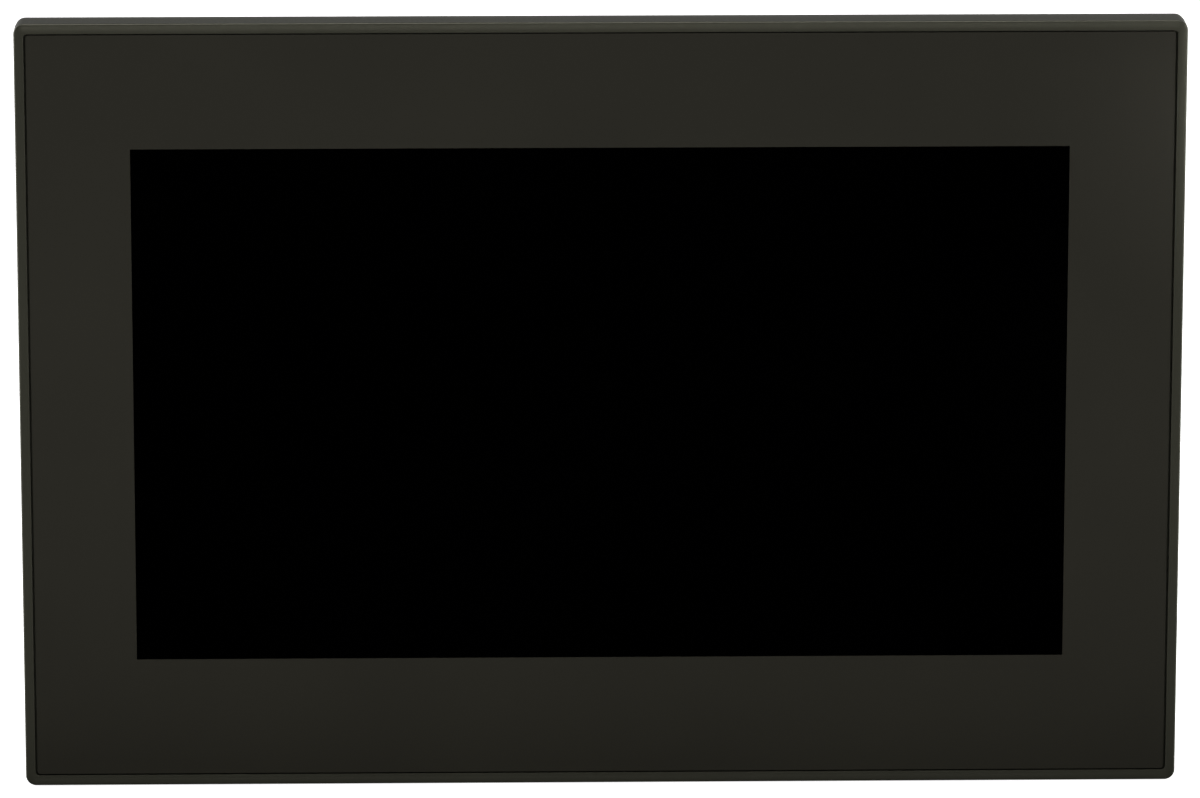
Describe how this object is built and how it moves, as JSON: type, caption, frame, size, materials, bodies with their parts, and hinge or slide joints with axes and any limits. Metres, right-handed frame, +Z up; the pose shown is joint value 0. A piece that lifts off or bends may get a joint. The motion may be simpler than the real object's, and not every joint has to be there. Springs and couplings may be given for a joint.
{
  "type": "hmi touch panel",
  "caption": "Flat rectangular operator panel with a wide black touch screen in a slim frame, a stepped rear housing with sockets, a gasket and screw clamps for a cabinet cut-out.",
  "frame": {"origin": "centre of the cabinet cut-out, in the plane of the front frame's rear face", "axes": "+X to the right seen from the front, +Y into the cabinet, away from the viewer, +Z up; the screen faces -Y"},
  "size_m": [0.2776, 0.0483, 0.187],
  "materials": {
    "bezel": "satin black-grey moulding with a fine texture",
    "film": "fine matt dark warm grey printed film",
    "screen_glass": "unlit black screen behind hard-coated touch glass",
    "tape": "black foam tape",
    "gasket_rubber": "soft closed-cell sealing strip",
    "lcd_glass": "polarised display glass",
    "acrylic": "clear light guide",
    "steel": "zinc-plated sheet",
    "ribbon": "polyimide flat cable",
    "board": "green solder resist",
    "chip": "black moulded epoxy",
    "sink": "extruded fins",
    "can": "drawn can",
    "jack_metal": "tin-plated shell",
    "terminal": "green polyamide",
    "card": "black card shell",
    "button": "satin black cap",
    "housing": "fine-spark textured black moulding",
    "label": "blank silver polyester plate",
    "zinc": "bright zinc plate",
    "clamp_shoe": "black nylon"
  },
  "bodies": {
    "enclosure": {"front_bezel": "bezel", "front_film": "film", "touch_glass": "screen_glass", "glass_adhesive": "tape", "panel_gasket": "gasket_rubber", "lcd_chassis": "steel", "lcd_cell": "lcd_glass", "backlight_guide": "acrylic", "shield_plate": "steel", "lcd_ribbon": "ribbon", "touch_ribbon": "ribbon", "main_board": "board", "cpu_chip": "chip", "heat_sink": "sink", "power_inductor": "chip", "bulk_capacitor": "can", "cell_holder": "chip", "coin_cell": "can", "ethernet_jack_1": "jack_metal", "ethernet_jack_2": "jack_metal", "usb_port_1": "jack_metal", "usb_port_2": "jack_metal", "serial_port": "jack_metal", "serial_jackscrew_1": "zinc", "serial_jackscrew_2": "zinc", "power_header": "terminal", "card_socket": "jack_metal", "reset_switch": "chip", "rear_housing": "housing", "rating_plate": "label", "earth_tab": "zinc", "earth_screw": "zinc", "card_door_pin": "zinc", "board_screw_1": "zinc", "housing_screw_1": "zinc", "clamp_bracket_1": "steel", "board_screw_2": "zinc", "housing_screw_2": "zinc", "clamp_bracket_2": "steel", "board_screw_3": "zinc", "housing_screw_3": "zinc", "clamp_bracket_3": "steel", "board_screw_4": "zinc", "housing_screw_4": "zinc", "clamp_bracket_4": "steel"},
    "foot_1": {"clamp_foot_1": "clamp_shoe"},
    "screw_1": {"clamp_screw_1": "zinc"},
    "foot_2": {"clamp_foot_2": "clamp_shoe"},
    "screw_2": {"clamp_screw_2": "zinc"},
    "foot_3": {"clamp_foot_3": "clamp_shoe"},
    "screw_3": {"clamp_screw_3": "zinc"},
    "foot_4": {"clamp_foot_4": "clamp_shoe"},
    "screw_4": {"clamp_screw_4": "zinc"},
    "card_flap": {"card_door": "housing"},
    "card": {"memory_card": "card"},
    "reset_key": {"reset_button": "button"},
    "plug": {"power_plug": "terminal"},
    "wire_screw_1": {"plug_screw_1": "zinc"},
    "wire_screw_2": {"plug_screw_2": "zinc"},
    "wire_screw_3": {"plug_screw_3": "zinc"}
  },
  "joints": [
    {"name": "clamp_foot_1_slide", "type": "slide", "parent": "enclosure", "child": "foot_1", "axis": [0, -1, 0], "range_m": [0, 0.005]},
    {"name": "clamp_screw_1_turn", "type": "hinge", "parent": "foot_1", "child": "screw_1", "pos_m": [-0.104, 0.0285, 0.0838], "axis": [0, -1, 0], "range_deg": [0, 2571.5]},
    {"name": "clamp_foot_2_slide", "type": "slide", "parent": "enclosure", "child": "foot_2", "axis": [0, -1, 0], "range_m": [0, 0.005]},
    {"name": "clamp_screw_2_turn", "type": "hinge", "parent": "foot_2", "child": "screw_2", "pos_m": [0.104, 0.0285, 0.0838], "axis": [0, -1, 0], "range_deg": [0, 2571.5]},
    {"name": "clamp_foot_3_slide", "type": "slide", "parent": "enclosure", "child": "foot_3", "axis": [0, -1, 0], "range_m": [0, 0.005]},
    {"name": "clamp_screw_3_turn", "type": "hinge", "parent": "foot_3", "child": "screw_3", "pos_m": [-0.104, 0.0285, -0.0838], "axis": [0, -1, 0], "range_deg": [0, 2571.5]},
    {"name": "clamp_foot_4_slide", "type": "slide", "parent": "enclosure", "child": "foot_4", "axis": [0, -1, 0], "range_m": [0, 0.005]},
    {"name": "clamp_screw_4_turn", "type": "hinge", "parent": "foot_4", "child": "screw_4", "pos_m": [0.104, 0.0285, -0.0838], "axis": [0, -1, 0], "range_deg": [0, 2571.5]},
    {"name": "card_door_hinge", "type": "hinge", "parent": "enclosure", "child": "card_flap", "pos_m": [0.08, 0.0288, -0.052], "axis": [1, 0, 0], "range_deg": [0, 120]},
    {"name": "memory_card_slide", "type": "slide", "parent": "enclosure", "child": "card", "axis": [0, 0, -1], "range_m": [-0.0007, 0.003]},
    {"name": "reset_button_press", "type": "slide", "parent": "enclosure", "child": "reset_key", "axis": [0, 0, 1], "range_m": [0, 0.0008], "stiffness_N_per_m": 900, "springref_m": -0.0002},
    {"name": "power_plug_pull", "type": "slide", "parent": "enclosure", "child": "plug", "axis": [0, 0, -1], "range_m": [0, 0.009]},
    {"name": "plug_screw_1_turn", "type": "hinge", "parent": "plug", "child": "wire_screw_1", "pos_m": [-0.09508, 0.0295, -0.0572], "axis": [0, -1, 0], "range_deg": [-1080, 0]},
    {"name": "plug_screw_2_turn", "type": "hinge", "parent": "plug", "child": "wire_screw_2", "pos_m": [-0.09, 0.0295, -0.0572], "axis": [0, -1, 0], "range_deg": [-1080, 0]},
    {"name": "plug_screw_3_turn", "type": "hinge", "parent": "plug", "child": "wire_screw_3", "pos_m": [-0.08492, 0.0295, -0.0572], "axis": [0, -1, 0], "range_deg": [-1080, 0]}
  ],
  "couplings": [
    {"joint": "clamp_screw_1_turn", "follows": "clamp_foot_1_slide", "rad_per_m": 8976},
    {"joint": "clamp_screw_2_turn", "follows": "clamp_foot_2_slide", "rad_per_m": 8976},
    {"joint": "clamp_screw_3_turn", "follows": "clamp_foot_3_slide", "rad_per_m": 8976},
    {"joint": "clamp_screw_4_turn", "follows": "clamp_foot_4_slide", "rad_per_m": 8976}
  ]
}
